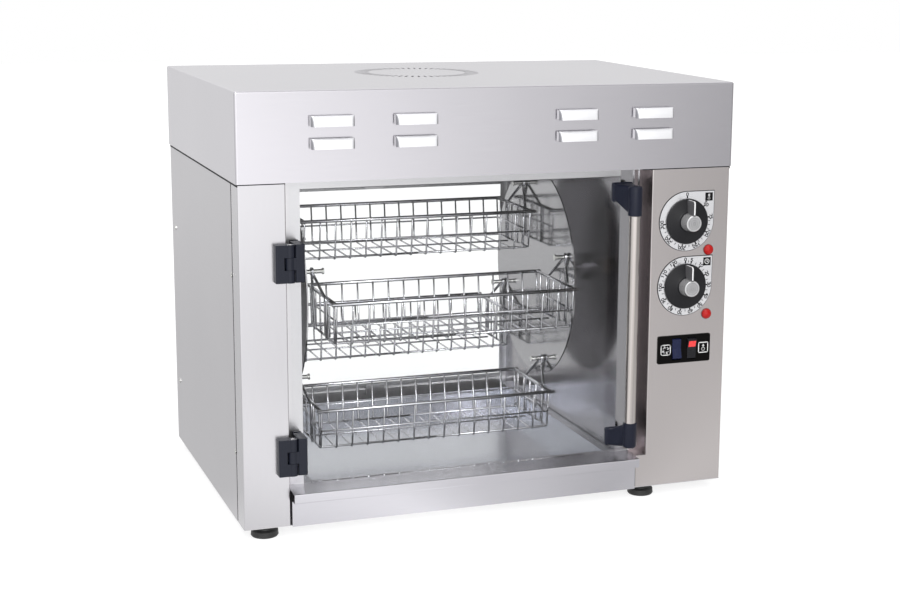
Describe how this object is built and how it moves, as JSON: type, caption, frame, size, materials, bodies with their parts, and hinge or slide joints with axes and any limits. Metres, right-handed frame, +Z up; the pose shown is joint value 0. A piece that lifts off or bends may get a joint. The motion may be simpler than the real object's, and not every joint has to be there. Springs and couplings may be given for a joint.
{
  "type": "chicken rotisserie",
  "caption": "Countertop rotisserie oven: glass door hung on the left, control column, motor wheel with level wire baskets, drip tray drawer and louvred hood.",
  "frame": {"origin": "on the table, at the middle of the outline of the whole part at rest", "axes": "+Z up, the door and the dials face -Y, +X to the right as seen from the front"},
  "size_m": [0.7, 0.5015, 0.588],
  "materials": {
    "case_steel": "satin brushed stainless sheet",
    "inner_steel": "dull stainless sheet",
    "wire": "bright chromed wire",
    "rotor_steel": "satin stainless",
    "clear_glass": "clear toughened glass",
    "black_moulding": "satin black moulding",
    "black_metal": "satin black coating",
    "handle_steel": "satin stainless tube",
    "foot_rubber": "matt",
    "zinc": "bright zinc plated",
    "dial_plate": "satin silver",
    "dial_black": "semi gloss black",
    "cap_metal": "turned face",
    "lamp_red": "translucent red",
    "switch_black": "fine texture",
    "rocker_blue": "semi gloss",
    "rocker_red": "semi gloss",
    "heater_sheath": "oxidised metal sheath",
    "lamp_glass": "frosted glass",
    "ceramic": "glazed ceramic",
    "motor_paint": "grey enamel",
    "control_body": "phenolic moulding",
    "bronze": "plain bearing bronze"
  },
  "bodies": {
    "case": {"base_plate": "case_steel", "feet": "foot_rubber", "foot_screws": "zinc", "left_pillar": "case_steel", "control_fascia": "case_steel", "left_side_panel": "case_steel", "right_side_panel": "case_steel", "rear_frame": "case_steel", "rear_glass": "clear_glass", "rear_glass_clips": "black_metal", "cavity_left_wall": "inner_steel", "cavity_right_wall": "inner_steel", "cavity_ceiling": "inner_steel", "heating_elements": "heater_sheath", "front_top_rail": "inner_steel", "hood_cover": "case_steel", "gear_motor": "motor_paint", "thermostat": "control_body", "timer": "control_body", "dial_bezels": "dial_plate", "pilot_lamps": "lamp_red", "switch_plate": "switch_black", "switch_bodies": "switch_black", "lamp_holder": "ceramic", "lamp_glass": "lamp_glass", "shaft_bushes": "bronze", "panel_screws": "zinc", "tray_runners": "inner_steel", "hinge_pillar_leaves": "black_metal", "hinge_pins": "zinc"},
    "door": {"door_glass": "clear_glass", "hinge_glass_leaves": "black_metal", "handle_tube": "handle_steel", "handle_brackets": "black_moulding"},
    "wheel": {"rotor_disc_left": "rotor_steel", "rotor_disc_right": "rotor_steel", "drive_shaft": "rotor_steel", "idler_shaft": "rotor_steel", "basket_pins": "zinc"},
    "thermostat_control": {"thermostat_knob": "dial_black", "thermostat_knob_cap": "cap_metal"},
    "timer_control": {"timer_knob": "dial_black", "timer_knob_cap": "cap_metal"},
    "rotation_switch": {"rotation_rocker": "rocker_blue"},
    "lamp_switch": {"lamp_rocker": "rocker_red"},
    "tray": {"drip_tray": "inner_steel", "tray_front": "case_steel"},
    "basket_1": {"basket_1_floor": "wire", "basket_1_sides": "wire", "basket_1_ends": "wire"},
    "basket_2": {"basket_2_floor": "wire", "basket_2_sides": "wire", "basket_2_ends": "wire"},
    "basket_3": {"basket_3_floor": "wire", "basket_3_sides": "wire", "basket_3_ends": "wire"},
    "basket_4": {"basket_4_floor": "wire", "basket_4_sides": "wire", "basket_4_ends": "wire"}
  },
  "joints": [
    {"name": "door_hinge", "type": "hinge", "parent": "case", "child": "door", "pos_m": [-0.2835, -0.23095, 0.2395], "axis": [0, 0, -1], "range_deg": [0, 110]},
    {"name": "wheel_spin", "type": "hinge", "parent": "case", "child": "wheel", "pos_m": [-0.036, 0.02375, 0.29], "axis": [1, 0, 0], "continuous": true},
    {"name": "basket_1_swing", "type": "hinge", "parent": "wheel", "child": "basket_1", "pos_m": [-0.036, -0.10369, 0.33141], "axis": [1, 0, 0], "continuous": true},
    {"name": "basket_2_swing", "type": "hinge", "parent": "wheel", "child": "basket_2", "pos_m": [-0.036, -0.01766, 0.16256], "axis": [1, 0, 0], "continuous": true},
    {"name": "basket_3_swing", "type": "hinge", "parent": "wheel", "child": "basket_3", "pos_m": [-0.036, 0.15119, 0.24859], "axis": [1, 0, 0], "continuous": true},
    {"name": "basket_4_swing", "type": "hinge", "parent": "wheel", "child": "basket_4", "pos_m": [-0.036, 0.06516, 0.41744], "axis": [1, 0, 0], "continuous": true},
    {"name": "tray_slide", "type": "slide", "parent": "case", "child": "tray", "axis": [0, -1, 0], "range_m": [0, 0.3]},
    {"name": "thermostat_turn", "type": "hinge", "parent": "case", "child": "thermostat_control", "pos_m": [0.283, -0.22425, 0.3955], "axis": [0, 1, 0], "range_deg": [0, 270]},
    {"name": "timer_turn", "type": "hinge", "parent": "case", "child": "timer_control", "pos_m": [0.283, -0.22425, 0.3035], "axis": [0, 1, 0], "range_deg": [0, 300]},
    {"name": "rotation_switch_press", "type": "hinge", "parent": "case", "child": "rotation_switch", "pos_m": [0.27275, -0.21825, 0.213], "axis": [1, 0, 0], "range_deg": [0, 14]},
    {"name": "lamp_switch_press", "type": "hinge", "parent": "case", "child": "lamp_switch", "pos_m": [0.29625, -0.21825, 0.213], "axis": [1, 0, 0], "range_deg": [-14, 0]}
  ],
  "couplings": [
    {"joint": "basket_1_swing", "follows": "wheel_spin", "ratio": -1},
    {"joint": "basket_2_swing", "follows": "wheel_spin", "ratio": -1},
    {"joint": "basket_3_swing", "follows": "wheel_spin", "ratio": -1},
    {"joint": "basket_4_swing", "follows": "wheel_spin", "ratio": -1}
  ]
}
